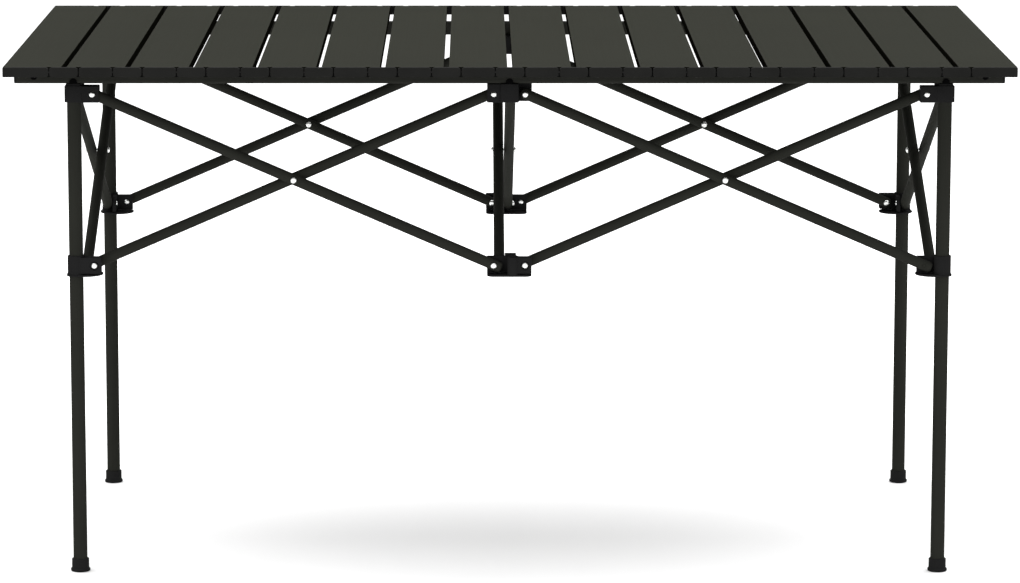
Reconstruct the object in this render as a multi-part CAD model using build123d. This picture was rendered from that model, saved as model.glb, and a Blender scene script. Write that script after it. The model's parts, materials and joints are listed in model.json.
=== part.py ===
from build123d import *
import math
import os

# Folding picnic table: a roll-up slatted top on two rails, over a scissor frame on four legs.
# Millimetres. X runs along the table, Y across it, Z up. The origin is on the floor, mid-table.

# Slatted top
SLAT_COUNT = 16
SLAT_WIDTH = 77.0
SLAT_GAP = 7.0
SLAT_PITCH = SLAT_WIDTH + SLAT_GAP
SLAT_THICK = 13.0
SLAT_WALL = 0.9
SLAT_CELLS = 3
TOP_DEPTH = 780.0
TOP_HEIGHT = 700.0
HINGE_Z = TOP_HEIGHT - SLAT_THICK / 2

# End caps, links and cords that join the slats
CAP_DEPTH = 5.0
CAP_SPIGOT = 15.0
CAP_SPIGOT_MIN_WIDTH = 10.0
LINK_HALF = 19.1
LINK_SWING_RADIUS = 19.3
LINK_GROOVE = 0.6
CAP_LEFT = LINK_SWING_RADIUS + LINK_GROOVE - SLAT_PITCH / 2
CAP_RIGHT = SLAT_PITCH / 2 - LINK_HALF - LINK_GROOVE
LINK_SLIDE_GAP = 0.3
CORD_RADIUS = 1.0
CORD_HOLE_RADIUS = 1.15
CORD_END_GAP = 1.0
CORD_END_DEPTH = 30.0

# Rails under the slats
RAIL_LENGTH = 1324.0
RAIL_WIDTH = 20.0
RAIL_WALL = 1.4
RAIL_CORNER = 4.0
RAIL_TOP = TOP_HEIGHT - SLAT_THICK - 0.3
RAIL_BOTTOM = 668.0
RAIL_PLUG_DEPTH = 3.0
RAIL_PLUG_SPIGOT = 14.0
RAIL_BUTTON_X = 635.5
RAIL_BUTTON_Z = 677.5
RAIL_BUTTON_RADIUS = 4.5
RAIL_TAB_WIDTH = 10.0
RAIL_TAB_HEIGHT = 7.0
RAIL_TAB_THICK = 1.6

# Legs, feet and posts
POST_X = 583.0
POST_Y = 293.5
LEG_RADIUS = 9.5
TUBE_WALL = 1.2
FOOT_RADIUS = 11.7
FOOT_HEIGHT = 17.3
FOOT_FLANGE_RADIUS = 13.2
FOOT_FLANGE_HEIGHT = 4.0
FOOT_FLOOR = 3.0

# Scissor braces: 14 round tubes that cross in 7 pairs
TOP_PIVOT_Z = 653.5
LOW_PIVOT_Z = 421.5
PIVOT_REACH = 25.0
CENTRE_PIVOT_REACH = 21.0
BRACE_RADIUS = 7.25
BRACE_TOP_REACH = 7.25
BRACE_LOW_REACH = 11.0
BRACE_LOW_ROUNDING = 3.5
ROUNDING_MARGIN = 0.25
OUTER_PLANE = -1.5
INNER_PLANE = 13.5

# Rivets
PIN_RADIUS = 2.5
PIN_CLEARANCE = 0.08
LOOSE_CLEARANCE = 0.3
HEAD_RADIUS = 5.0
HEAD_HEIGHT = 2.0
HEAD_CLEARANCE = 0.3

# Moulded hubs and sliders
HUB_HALF = 11.75
HUB_TOP = RAIL_BOTTOM - 0.3
HUB_NECK_HALF = 10.0
HUB_BODY_LOW = 643.0
HUB_BODY_HIGH = 665.0
HUB_SOCKET_TOP = 660.0
CENTRE_HUB_HALF = 12.35
LOW_HUB_RECESS = 2.8
ARM_HALF_HEIGHT = 11.0
ARM_END = 9.0
ARM_END_RADIUS = 1.5
ARM_GAP = 0.3
ARM_BACK = 11.4
ARM_WEB = 3.2
SLIDER_RADIUS = 11.7
SLIDER_BORE = LEG_RADIUS + 0.3
SLIDER_LOW = 406.5
SLIDER_HIGH = 434.5
FLANGE_RADIUS = 24.5
FLANGE_THICK = 2.7
FLANGE_OFFSET = 11.0
CENTRE_PLATE_HALF = 30.0

POSTS = {
    "front_left": (-POST_X, -POST_Y),
    "front_centre": (0.0, -POST_Y),
    "front_right": (POST_X, -POST_Y),
    "back_left": (-POST_X, POST_Y),
    "back_centre": (0.0, POST_Y),
    "back_right": (POST_X, POST_Y),
}
CORNERS = [name for name in POSTS if "centre" not in name]

# Each scissor: the post under which its outer brace hangs, the same for its inner brace, and
# the direction from the outer brace to the inner one.
SCISSORS = {
    "front_left": ("front_left", "front_centre", (0, 1)),
    "front_right": ("front_centre", "front_right", (0, 1)),
    "back_left": ("back_centre", "back_left", (0, -1)),
    "back_right": ("back_right", "back_centre", (0, -1)),
    "left_end": ("front_left", "back_left", (1, 0)),
    "right_end": ("front_right", "back_right", (-1, 0)),
    "centre": ("front_centre", "back_centre", (-1, 0)),
}

# Pivots where the linkage closes on itself have a looser pin: (scissor, brace, level).
LOOSE_PIVOTS = {
    ("front_right", "inner", "low"),
    ("centre", "inner", "low"),
    ("left_end", "inner", "low"),
    ("right_end", "inner", "low"),
    ("back_left", "inner", "low"),
    ("back_left", "outer", "top"),
    ("back_left", "outer", "low"),
    ("back_right", "inner", "top"),
    ("back_right", "inner", "low"),
    ("back_right", "outer", "low"),
}


# Basic shapes

def block(x, y, z):
    """Box between two limits on each axis."""
    size = [abs(limits[1] - limits[0]) for limits in (x, y, z)]
    centre = [(limits[0] + limits[1]) / 2 for limits in (x, y, z)]
    return Pos(*centre) * Box(*size)


def rod(start, end, radius):
    """Round bar from one point to another."""
    run = end - start
    return extrude(Plane(origin=start, z_dir=run) * Circle(radius), run.length)


def rivet(start, end, radius):
    """Domed rivet whose shank runs from start to end, with a head beyond each."""
    run = end - start
    length = run.length
    dome = (HEAD_RADIUS ** 2 + HEAD_HEIGHT ** 2) / (2 * HEAD_HEIGHT)
    half_turn = math.asin(HEAD_RADIUS / dome) / 2
    bulge = HEAD_HEIGHT - dome * (1 - math.cos(half_turn))
    rise = dome * math.sin(half_turn)
    outline = Curve() + [
        ThreePointArc((-HEAD_HEIGHT, 0), (-bulge, rise), (0, HEAD_RADIUS)),
        Polyline((0, HEAD_RADIUS), (0, radius), (length, radius), (length, HEAD_RADIUS)),
        ThreePointArc((length, HEAD_RADIUS), (length + bulge, rise), (length + HEAD_HEIGHT, 0)),
        Line((length + HEAD_HEIGHT, 0), (-HEAD_HEIGHT, 0)),
    ]
    turned = revolve(make_face(outline), Axis.X)
    across = Vector(0, 0, 1) if abs(run.Z) < 0.5 * length else Vector(1, 0, 0)
    return Plane(origin=start, x_dir=run, z_dir=across.cross(run)) * turned


def rounded_bar(low, high, radius, low_rounding, high_rounding):
    """Round bar along X from low to high, with its end rims rounded."""
    half = Pos((low + high) / 2, radius / 2) * Rectangle(high - low, radius)
    rims = half.vertices().sort_by(Axis.Y)[-2:].sort_by(Axis.X)
    half = fillet(rims[0], low_rounding)
    rims = half.vertices().sort_by(Axis.X)[-2:].sort_by(Axis.Y)
    half = fillet(rims[-1], high_rounding)
    return revolve(half, Axis.X)


# Places on the frame

def heading(name, other):
    """Unit direction, in plan, from one post to another."""
    start = POSTS[name]
    end = POSTS[other]
    length = math.hypot(end[0] - start[0], end[1] - start[1])
    return ((end[0] - start[0]) / length, (end[1] - start[1]) / length)


def spot(post, along, side, u, v, z):
    """Point u out from a post along an arm, v towards the inner brace, at height z."""
    x, y = POSTS[post]
    return Vector(x + along[0] * u + side[0] * v, y + along[1] * u + side[1] * v, z)


def reach(post, along):
    """Distance from a post's axis to the pivot on one of its arms."""
    if "centre" in post and abs(along[0]) > 0.5:
        return CENTRE_PIVOT_REACH
    return PIVOT_REACH


def brace_ends(scissor, layer):
    """Top and low pivot centres of one brace of a scissor."""
    outer_post, inner_post, side = SCISSORS[scissor]
    top, low = (outer_post, inner_post) if layer == "outer" else (inner_post, outer_post)
    offset = OUTER_PLANE if layer == "outer" else INNER_PLANE
    out = heading(top, low)
    back = heading(low, top)
    return (spot(top, out, side, reach(top, out), offset, TOP_PIVOT_Z),
            spot(low, back, side, reach(low, back), offset, LOW_PIVOT_Z))


# Braces and crossing rivets

def brace_bar(length, layer, inset):
    """Solid shape of a brace along X, its low pivot at the origin, drawn in by inset all over."""
    low_reach = BRACE_LOW_REACH if layer == "outer" else BRACE_TOP_REACH
    low_rounding = BRACE_LOW_ROUNDING if layer == "outer" else BRACE_TOP_REACH - ROUNDING_MARGIN
    high_rounding = BRACE_TOP_REACH - ROUNDING_MARGIN
    return rounded_bar(inset - low_reach, length + BRACE_TOP_REACH - inset, BRACE_RADIUS - inset,
                       low_rounding - inset, high_rounding - inset)


def make_brace(scissor, layer):
    """Tube with spun ends and three cross holes, for its two end pivots and the crossing."""
    top, low = brace_ends(scissor, layer)
    side = Vector(*SCISSORS[scissor][2], 0)
    middle = (top + low) / 2
    length = (top - low).length
    tube = brace_bar(length, layer, 0) - brace_bar(length, layer, TUBE_WALL)
    tube = Plane(origin=low, x_dir=top - low, z_dir=side) * tube
    for centre in (top, middle, low):
        across = side * (2 * BRACE_RADIUS)
        tube -= rod(centre - across, centre + across, PIN_RADIUS + PIN_CLEARANCE)
    return tube


def make_crossing_rivet(scissor):
    """Rivet through both braces of a scissor where they cross."""
    side = Vector(*SCISSORS[scissor][2], 0)
    outer = sum(brace_ends(scissor, "outer"), Vector()) / 2
    inner = sum(brace_ends(scissor, "inner"), Vector()) / 2
    lift = side * (BRACE_RADIUS + HEAD_CLEARANCE)
    return rivet(outer - lift, inner + lift, PIN_RADIUS)


# Hubs and sliders

def arms_at(post, level):
    """Every arm of a hub: the scissor and brace that it carries, and its directions in plan."""
    arms = []
    for scissor, (outer_post, inner_post, side) in SCISSORS.items():
        if post not in (outer_post, inner_post):
            continue
        other = inner_post if post == outer_post else outer_post
        hangs_outer = (post == outer_post) == (level == "top")
        arms.append((scissor, "outer" if hangs_outer else "inner", heading(post, other), side))
    return arms


def arm_block(post, along, side, u, v, z, end_radius=0.0):
    """Block given in an arm's own directions, with its far end rounded in the pivot's plane."""
    near = spot(post, along, side, u[0], v[0], z[0])
    far = spot(post, along, side, u[1], v[1], z[1])
    solid = block((near.X, far.X), (near.Y, far.Y), (near.Z, far.Z))
    if end_radius:
        across = Axis.Y if abs(side[1]) > 0.5 else Axis.X
        out = Vector(*along, 0)
        edges = solid.edges().filter_by(across).sort_by(lambda edge: edge.center().dot(out))
        solid = fillet(edges[-2:], end_radius)
    return solid


def make_arm(post, level, layer, along, side):
    """Arm that carries a brace: a block beside an inner brace, a plate or fork at an outer one."""
    pivot_z = TOP_PIVOT_Z if level == "top" else LOW_PIVOT_Z
    pivot_u = reach(post, along)
    span = (0.0, pivot_u + ARM_END)
    z = (pivot_z - ARM_HALF_HEIGHT, pivot_z + ARM_HALF_HEIGHT)
    if layer == "inner":
        face = INNER_PLANE - BRACE_RADIUS - ARM_GAP
        return arm_block(post, along, side, span, (-HUB_HALF, face), z, ARM_END_RADIUS)
    back_face = OUTER_PLANE + BRACE_RADIUS + ARM_GAP
    arm = arm_block(post, along, side, span, (back_face, ARM_BACK), z, ARM_END_RADIUS)
    if level == "top" and post in CORNERS:
        front_face = OUTER_PLANE - BRACE_RADIUS - ARM_GAP
        web_z = (z[1] - ARM_WEB, z[1])
        arm += arm_block(post, along, side, span, (-HUB_HALF, front_face), z, ARM_END_RADIUS)
        arm += arm_block(post, along, side, (0.0, pivot_u), (-HUB_HALF, ARM_BACK), web_z)
    return arm


def make_arm_pin(post, level, scissor, layer, along, side):
    """Rivet that holds a brace to its arm."""
    pivot_z = TOP_PIVOT_Z if level == "top" else LOW_PIVOT_Z
    pivot_u = reach(post, along)
    loose = (scissor, layer, level) in LOOSE_PIVOTS
    radius = PIN_RADIUS + PIN_CLEARANCE - LOOSE_CLEARANCE if loose else PIN_RADIUS
    has_fork = layer == "outer" and level == "top" and post in CORNERS
    if layer == "inner":
        span = (-HUB_HALF, INNER_PLANE + BRACE_RADIUS + HEAD_CLEARANCE)
    elif has_fork:
        span = (-HUB_HALF, ARM_BACK)
    else:
        span = (OUTER_PLANE - BRACE_RADIUS - HEAD_CLEARANCE, ARM_BACK)
    start = spot(post, along, side, pivot_u, span[0], pivot_z)
    end = spot(post, along, side, pivot_u, span[1], pivot_z)
    return rivet(start, end, radius)


def pin_hole(post, level, along, side):
    """Hole through an arm for its pin."""
    pivot_z = TOP_PIVOT_Z if level == "top" else LOW_PIVOT_Z
    pivot_u = reach(post, along)
    start = spot(post, along, side, pivot_u, -2 * HUB_HALF, pivot_z)
    end = spot(post, along, side, pivot_u, 2 * HUB_HALF, pivot_z)
    return rod(start, end, PIN_RADIUS + PIN_CLEARANCE)


def inward(post):
    """Signs, in plan, that point from a post towards the middle of the table."""
    x, y = POSTS[post]
    return (-math.copysign(1, x), -math.copysign(1, y))


def corner_hub_core(post):
    """Square cap over the top of a leg, with a neck that meets the rail."""
    x, y = POSTS[post]
    body = block((x - HUB_HALF, x + HUB_HALF), (y - HUB_HALF, y + HUB_HALF),
                 (HUB_BODY_LOW, HUB_BODY_HIGH))
    body = fillet(body.edges().filter_by(Axis.Z), 2.0)
    neck = block((x - HUB_NECK_HALF, x + HUB_NECK_HALF), (y - HUB_NECK_HALF, y + HUB_NECK_HALF),
                 (HUB_BODY_HIGH - 1, HUB_TOP))
    return body + fillet(neck.edges().filter_by(Axis.Z), 3.0)


def slider_core(post):
    """Sleeve that slides on a leg, on a round flange."""
    x, y = POSTS[post]
    sx, sy = inward(post)
    barrel = rod(Vector(x, y, SLIDER_LOW), Vector(x, y, SLIDER_HIGH), SLIDER_RADIUS)
    disc_x = x + sx * FLANGE_OFFSET
    disc_y = y + sy * FLANGE_OFFSET
    disc = rod(Vector(disc_x, disc_y, SLIDER_LOW), Vector(disc_x, disc_y, SLIDER_LOW + FLANGE_THICK),
               FLANGE_RADIUS)
    web = block((x, x + sx * HUB_HALF), (y, y + sy * HUB_HALF),
                (SLIDER_LOW, LOW_PIVOT_Z + ARM_HALF_HEIGHT))
    return barrel + fillet(disc.edges(), 1.2) + web


def centre_hub_core(post, level):
    """Block between the arms of a middle hub; the low one is cut back beside its outer brace."""
    x, y = POSTS[post]
    sy = inward(post)[1]
    depth = (y - sy * HUB_HALF, y + sy * ARM_BACK)
    if level == "top":
        body = block((x - CENTRE_HUB_HALF, x + CENTRE_HUB_HALF), depth, (HUB_BODY_LOW, HUB_TOP))
        return fillet(body.edges().filter_by(Axis.Z), 1.5)
    outer_side = [along[0] for _, layer, along, _ in arms_at(post, level)
                  if layer == "outer" and abs(along[0]) > 0.5][0]
    body = block((x - outer_side * CENTRE_HUB_HALF, x + outer_side * LOW_HUB_RECESS), depth,
                 (SLIDER_LOW, SLIDER_HIGH))
    plate = block((x - CENTRE_PLATE_HALF, x + CENTRE_PLATE_HALF),
                  (y - sy * HUB_HALF, y + sy * (PIVOT_REACH + ARM_END)),
                  (SLIDER_LOW, SLIDER_LOW + FLANGE_THICK))
    plate = fillet(plate.edges().filter_by(Axis.Z), 9.0)
    return body + plate


def make_hub(post, level):
    """Hub or slider with its arms, and the separate rivets that it carries."""
    x, y = POSTS[post]
    if post not in CORNERS:
        body = centre_hub_core(post, level)
    elif level == "top":
        body = corner_hub_core(post)
    else:
        body = slider_core(post)
    pins = []
    for scissor, layer, along, side in arms_at(post, level):
        body += make_arm(post, level, layer, along, side)
        pins.append(make_arm_pin(post, level, scissor, layer, along, side))
    for scissor, layer, along, side in arms_at(post, level):
        body -= pin_hole(post, level, along, side)
    if post in CORNERS and level == "top":
        body -= rod(Vector(x, y, 0), Vector(x, y, HUB_SOCKET_TOP), LEG_RADIUS)
    if post in CORNERS and level == "low":
        body -= rod(Vector(x, y, 0), Vector(x, y, TOP_HEIGHT), SLIDER_BORE)
    return [body] + pins


# Legs and feet

def make_leg(post):
    """Straight tube from inside the foot to inside the top hub."""
    x, y = POSTS[post]
    low = Vector(x, y, FOOT_FLOOR)
    high = Vector(x, y, HUB_SOCKET_TOP)
    return rod(low, high, LEG_RADIUS) - rod(low, high, LEG_RADIUS - TUBE_WALL)


def make_foot(post):
    """Cup over the end of a leg, with a rounded flange on the floor."""
    x, y = POSTS[post]
    base = Vector(x, y, 0)
    cup = fillet(rod(base, Vector(x, y, FOOT_HEIGHT), FOOT_RADIUS).edges().sort_by(Axis.Z)[-1], 1.0)
    flange = rod(base, Vector(x, y, FOOT_FLANGE_HEIGHT), FOOT_FLANGE_RADIUS)
    foot = cup + fillet(flange.edges(), 1.2)
    return foot - rod(Vector(x, y, FOOT_FLOOR), Vector(x, y, FOOT_HEIGHT + 1), LEG_RADIUS)


# Rails

def rail_section(inset):
    """Rounded rectangle of a rail, seen along X, shrunk by inset on every side."""
    height = RAIL_TOP - RAIL_BOTTOM - 2 * inset
    return RectangleRounded(RAIL_WIDTH - 2 * inset, height, RAIL_CORNER - inset * 0.8)


def rail_run(y, x0, x1, inset):
    """Length of rail section from x0 to x1."""
    section = Plane(origin=(x0, y, (RAIL_TOP + RAIL_BOTTOM) / 2), x_dir=(0, 1, 0), z_dir=(1, 0, 0))
    return extrude(section * rail_section(inset), x1 - x0)


def make_rail(y):
    """Hollow rail along X."""
    half = RAIL_LENGTH / 2 - RAIL_PLUG_DEPTH
    rail = rail_run(y, -half, half, 0) - rail_run(y, -half, half, RAIL_WALL)
    outer = y + math.copysign(RAIL_WIDTH / 2, y)
    for x in (-RAIL_BUTTON_X, RAIL_BUTTON_X):
        inside = Vector(x, outer - math.copysign(RAIL_WALL + 2, y), RAIL_BUTTON_Z)
        rail -= rod(inside, Vector(x, outer + math.copysign(1, y), RAIL_BUTTON_Z), RAIL_BUTTON_RADIUS)
    return rail


def make_rail_plug(y, end):
    """Plug in one end of a rail; end is -1 or 1."""
    tip = end * RAIL_LENGTH / 2
    face = tip - end * RAIL_PLUG_DEPTH
    root = face - end * RAIL_PLUG_SPIGOT
    plug = rail_run(y, min(tip, face), max(tip, face), 0)
    return plug + rail_run(y, min(face, root), max(face, root), RAIL_WALL)


def make_rail_button(x, y):
    """Round plug in the outer wall of a rail."""
    outer = y + math.copysign(RAIL_WIDTH / 2, y)
    inside = Vector(x, outer - math.copysign(RAIL_WALL + 1, y), RAIL_BUTTON_Z)
    return rod(inside, Vector(x, outer + math.copysign(0.5, y), RAIL_BUTTON_Z), RAIL_BUTTON_RADIUS)


def make_rail_tab(x, y):
    """Arched locating tab on a rail's outer face, above a hub."""
    outer = y + math.copysign(RAIL_WIDTH / 2, y)
    tab = block((x - RAIL_TAB_WIDTH / 2, x + RAIL_TAB_WIDTH / 2),
                (outer, outer + math.copysign(RAIL_TAB_THICK, y)),
                (RAIL_BOTTOM, RAIL_BOTTOM + RAIL_TAB_HEIGHT))
    tab = fillet(tab.edges().filter_by(Axis.Y).sort_by(Axis.Z)[-2:], RAIL_TAB_WIDTH / 2 - 0.5)
    return tab - rail_run(y, x - RAIL_TAB_WIDTH, x + RAIL_TAB_WIDTH, 0)


# Slats

def slat_centre(number):
    """X of the middle of a slat, counted from 1 at the left."""
    return (number - (SLAT_COUNT + 1) / 2) * SLAT_PITCH


def cell_centres():
    """X, from a slat's middle, of the centre of each hollow cell, and the cells' width."""
    width = (SLAT_WIDTH - (SLAT_CELLS + 1) * SLAT_WALL) / SLAT_CELLS
    step = width + SLAT_WALL
    return [(cell - (SLAT_CELLS - 1) / 2) * step for cell in range(SLAT_CELLS)], width


def make_panel(x):
    """Hollow extrusion of one slat."""
    half = TOP_DEPTH / 2 - CAP_DEPTH
    centres, width = cell_centres()
    profile = RectangleRounded(SLAT_WIDTH, SLAT_THICK, 1.6)
    for centre in centres:
        profile -= Pos(centre, 0) * Rectangle(width, SLAT_THICK - 2 * SLAT_WALL)
    plane = Plane(origin=(x, half, HINGE_Z), x_dir=(1, 0, 0), z_dir=(0, -1, 0))
    return extrude(plane * profile, 2 * half)


def cord_line(edge, x0, x1, radius):
    """Straight cord, or the hole for it, through the end pieces at one edge of the top."""
    y = edge * (TOP_DEPTH / 2 - CAP_DEPTH / 2)
    return rod(Vector(x0, y, HINGE_Z), Vector(x1, y, HINGE_Z), radius)


def slat_z(inset):
    """Z limits of a slat, drawn in by inset at its top and bottom."""
    return (HINGE_Z - SLAT_THICK / 2 + inset, HINGE_Z + SLAT_THICK / 2 - inset)


def edge_span(edge, shallow, deep):
    """Y limits between two distances in from the front or back edge; edge is -1 or 1."""
    return (edge * (TOP_DEPTH / 2 - shallow), edge * (TOP_DEPTH / 2 - deep))


def make_cap(number, edge):
    """Plug in one end of a slat, with a face as wide as the links leave free."""
    x = slat_centre(number)
    left = -SLAT_WIDTH / 2 if number == 1 else CAP_LEFT
    right = SLAT_WIDTH / 2 if number == SLAT_COUNT else CAP_RIGHT
    cap = block((x + left, x + right), edge_span(edge, 0, CAP_DEPTH), slat_z(0))
    centres, width = cell_centres()
    for centre in centres:
        low = max(centre - width / 2, left)
        high = min(centre + width / 2, right)
        if high - low > CAP_SPIGOT_MIN_WIDTH:
            cap += block((x + low, x + high), edge_span(edge, CAP_DEPTH - 1, CAP_DEPTH + CAP_SPIGOT),
                         slat_z(SLAT_WALL))
    ends = cord_ends(number)
    hole = (max(ends[0], x + left) - 1, min(ends[1], x + right) + 1)
    return cap - cord_line(edge, hole[0], hole[1], CORD_HOLE_RADIUS)


def make_link(number, edge):
    """Link on a slat's right side that reaches over the gap, rounded about the hinge line."""
    x = slat_centre(number) + SLAT_PITCH / 2
    near = edge * TOP_DEPTH / 2
    far = edge * (TOP_DEPTH / 2 - CAP_DEPTH + LINK_SLIDE_GAP)
    plate = block((x - LINK_HALF, x), (near, far), slat_z(0))
    swing = rod(Vector(x, near, HINGE_Z), Vector(x, far, HINGE_Z), LINK_SWING_RADIUS)
    swing &= block((x, x + LINK_SWING_RADIUS), (near, far), slat_z(0))
    hole = cord_line(edge, x - LINK_HALF - 1, x + LINK_SWING_RADIUS + 1, CORD_HOLE_RADIUS)
    return plate + swing - hole


def cord_ends(number):
    """X limits of the length of cord that one slat carries."""
    x = slat_centre(number)
    left = x - SLAT_WIDTH / 2 + CORD_END_DEPTH if number == 1 else x + CAP_LEFT
    right = x + SLAT_PITCH / 2 + LINK_SWING_RADIUS - CORD_END_GAP
    if number == SLAT_COUNT:
        right = x + SLAT_WIDTH / 2 - CORD_END_DEPTH
    return left, right


def make_slat(number):
    """All the pieces of one slat: its panel, and a cap, a link and a cord at each end."""
    pieces = [make_panel(slat_centre(number))]
    for edge in (-1, 1):
        pieces.append(make_cap(number, edge))
        if number < SLAT_COUNT:
            pieces.append(make_link(number, edge))
        left, right = cord_ends(number)
        pieces.append(cord_line(edge, left, right, CORD_RADIUS))
    return pieces


# Every node of the table

def all_nodes():
    """Name and solids of each node."""
    nodes = {}
    for number in range(1, SLAT_COUNT + 1):
        nodes[f"slat_{number:02d}"] = make_slat(number)
    for side, y in (("front", -POST_Y), ("back", POST_Y)):
        nodes[f"{side}_rail"] = [make_rail(y)]
    fittings = []
    for y in (-POST_Y, POST_Y):
        fittings += [make_rail_plug(y, end) for end in (-1, 1)]
        fittings += [make_rail_button(x, y) for x in (-RAIL_BUTTON_X, RAIL_BUTTON_X)]
        fittings += [make_rail_tab(x, y) for x in (-POST_X, 0.0, POST_X)]
    nodes["rail_plugs_and_tabs"] = fittings
    for post in CORNERS:
        nodes[f"{post}_leg"] = [make_leg(post)]
        nodes[f"{post}_foot"] = [make_foot(post)]
        nodes[f"{post}_top_hub"] = make_hub(post, "top")
        nodes[f"{post}_slider"] = make_hub(post, "low")
    for post in POSTS:
        if post not in CORNERS:
            nodes[f"{post}_top_hub"] = make_hub(post, "top")
            nodes[f"{post}_low_hub"] = make_hub(post, "low")
    for scissor in SCISSORS:
        for layer in ("outer", "inner"):
            nodes[f"{scissor}_{layer}_brace"] = [make_brace(scissor, layer)]
        nodes[f"{scissor}_crossing_rivet"] = [make_crossing_rivet(scissor)]
    return nodes


def write_nodes():
    """Write each node to its own STEP file."""
    os.makedirs("parts", exist_ok=True)
    for name, pieces in all_nodes().items():
        solids = [solid for piece in pieces for solid in piece.solids()]
        shape = solids[0] if len(solids) == 1 else Compound(children=solids)
        export_step(shape, f"parts/{name}.step")


write_nodes()
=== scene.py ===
"""Folding picnic table: finished pieces round the CAD frame, with materials, light and camera.

Metres, in the frame's own axes: X along the table, Y across it, Z up, the floor at z = 0.
"""
import json
import math

import bmesh
import bpy
from mathutils import Matrix, Vector


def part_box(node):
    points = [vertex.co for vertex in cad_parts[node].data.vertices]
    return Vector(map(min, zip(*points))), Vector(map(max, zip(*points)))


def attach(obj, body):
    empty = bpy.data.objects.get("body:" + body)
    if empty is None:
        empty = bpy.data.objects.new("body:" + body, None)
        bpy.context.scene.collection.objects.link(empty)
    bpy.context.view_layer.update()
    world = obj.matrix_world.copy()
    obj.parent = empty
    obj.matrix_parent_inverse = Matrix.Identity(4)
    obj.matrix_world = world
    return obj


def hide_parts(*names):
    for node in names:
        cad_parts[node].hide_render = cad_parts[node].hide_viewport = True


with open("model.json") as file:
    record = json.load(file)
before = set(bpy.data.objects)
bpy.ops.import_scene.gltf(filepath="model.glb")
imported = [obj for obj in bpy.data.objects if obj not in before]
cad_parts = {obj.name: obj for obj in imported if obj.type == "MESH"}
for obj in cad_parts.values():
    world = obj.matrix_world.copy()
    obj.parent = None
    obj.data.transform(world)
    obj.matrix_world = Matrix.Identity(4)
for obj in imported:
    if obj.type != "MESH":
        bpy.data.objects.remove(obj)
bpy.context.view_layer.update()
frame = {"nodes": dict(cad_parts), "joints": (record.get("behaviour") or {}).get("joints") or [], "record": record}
JOINTS = {joint["name"]: joint for joint in frame["joints"]}
BODIES = frame["record"]["behaviour"]["bodies"]
BODY_OF = {node: body for body, nodes in BODIES.items() for node in nodes}

MM = 0.001

# Slats
SLAT_COUNT = 16
SLAT_CORNER = 0.7 * MM
CAP_DEPTH = 5.0 * MM
CAP_CHAMFER = (3.2 * MM, 2.0 * MM)
END_CHAMFER = (0.9 * MM, 0.9 * MM)
CAP_RIM = 0.6 * MM
SWING_RADIUS = 19.3 * MM
LINK_HALF = 19.1 * MM
LINK_GROOVE = 0.6 * MM
GROOVE_EXTRA = 0.3 * MM
CORD_RADIUS = 1.0 * MM
CORD_END_GAP = 1.0 * MM
CORD_END_DEPTH = 30.0 * MM
DRAW_MARK = 0.5 * MM

# Rail fittings
PLUG_DEPTH = 3.0 * MM
RAIL_CORNER = 4.0 * MM
BUTTON_RADIUS = 4.5 * MM
BUTTON_RISE = 0.5 * MM
BUTTON_DEPTH = 2.0 * MM
BUTTON_FROM_END = 26.5 * MM
BUTTON_UP = 9.5 * MM
PLUG_EDGE = 0.8 * MM
TAB_WIDTH = 10.0 * MM
TAB_HEIGHT = 7.0 * MM
TAB_THICK = 1.6 * MM
TAB_EDGE = 0.6 * MM

# Hubs
HUB_EDGE = 0.7 * MM
HUB_HALF = 11.75 * MM
CENTRE_HUB_HALF = 12.35 * MM
NECK_HALF = 10.0 * MM
HUB_BODY_LOW = 643.0 * MM
HUB_BODY_HIGH = 665.0 * MM
ARM_HALF_HEIGHT = 11.0 * MM
ARM_START = 4.0 * MM
ARM_END = 9.0 * MM
ARM_BACK = 11.4 * MM
ARM_WEB = 3.2 * MM
ARM_INSET = 0.7 * MM
CENTRE_ARM_INSET = 2.4 * MM
LOW_HUB_RECESS = 2.8 * MM
LOW_HUB_CORNER = 5.5 * MM
FLANGE_RADIUS = 24.5 * MM
FLANGE_THICK = 2.7 * MM
FLANGE_OFFSET = 11.0 * MM
SLIDER_RADIUS = 11.7 * MM
BEAD_RADIUS = 13.2 * MM
SLIDER_BORE = 9.8 * MM
PLATE_HALF = 30.0 * MM
PLATE_CORNER = 9.0 * MM
PLATE_EDGE = 0.9 * MM
BARREL_RIM = 1.0 * MM
FLANGE_RIM = 1.2 * MM
SOCKET_RADIUS = 10.1 * MM
SOCKET_LIP = 1.2 * MM
CUT_OVERRUN = 0.01

# Braces and rivets
BRACE_RADIUS = 7.25 * MM
OUTER_PLANE = -1.5 * MM
INNER_PLANE = 13.5 * MM
GAP = 0.3 * MM
PIN_RADIUS = 2.2 * MM
HEAD_RADIUS = 4.1 * MM
HEAD_HEIGHT = 2.6 * MM
HEAD_RIM = 0.15 * MM
RECESS_RADIUS = 6.4 * MM
RECESS_DEPTH = 1.2 * MM
RECESS_OVERRUN = 2.0 * MM
DIMPLE_RADIUS = 1.3 * MM
DIMPLE_DEPTH = 0.7 * MM

# Pins whose front end is flush and painted over
FLUSH_RIVETS = ("front_right_slider_front_right_rivet",)

# Feet
FOOT_RADIUS = 11.7 * MM
FOOT_HEIGHT = 17.3 * MM
FOOT_FLANGE = 13.2 * MM
FOOT_FLARE = 1.4 * MM
LEG_RADIUS = 9.5 * MM
FLOOR_DROP = 0.3 * MM

TOP_PIVOT_Z = JOINTS["frame_fold"]["pos_m"][2]
LOW_PIVOT_Z = JOINTS["front_left_slider_pivot"]["pos_m"][2]
SLIDER_LOW, SLIDER_HIGH = (corner.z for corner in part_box("front_left_slider"))
HUB_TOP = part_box("front_left_top_hub")[1].z

CORNERS = ("front_left", "front_right", "back_left", "back_right")


def middle(node):
    """Centre of a CAD node's box."""
    low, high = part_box(node)
    return (low + high) / 2


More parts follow.
